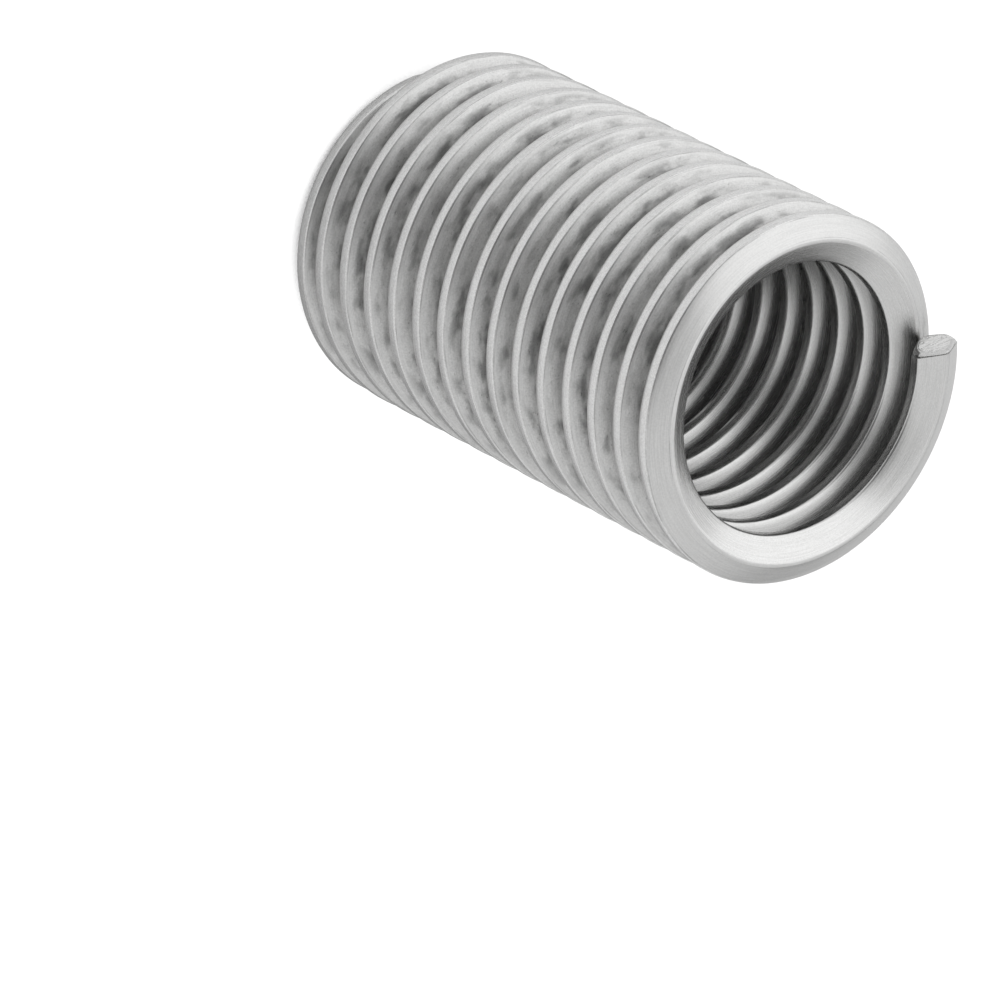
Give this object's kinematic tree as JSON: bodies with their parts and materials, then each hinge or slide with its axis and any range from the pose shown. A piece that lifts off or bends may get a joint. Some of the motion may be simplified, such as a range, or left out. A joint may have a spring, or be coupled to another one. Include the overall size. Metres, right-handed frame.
{
  "type": "helical thread insert",
  "caption": "Coil of diamond-section stainless wire that is a screw thread inside and out, with a driving tang across its leading end.",
  "frame": {"origin": "on the coil's axis, at the lowest point of the wire, with the insert standing on its leading end", "axes": "+Z along the coil's axis from the leading end with the tang to the trailing end with the cut; +X through the cut end"},
  "size_m": [0.0191, 0.019, 0.0313],
  "materials": {
    "steel": "satin drawn wire, unpolished"
  },
  "bodies": {
    "root": {"wire_coil": "steel"}
  },
  "joints": []
}
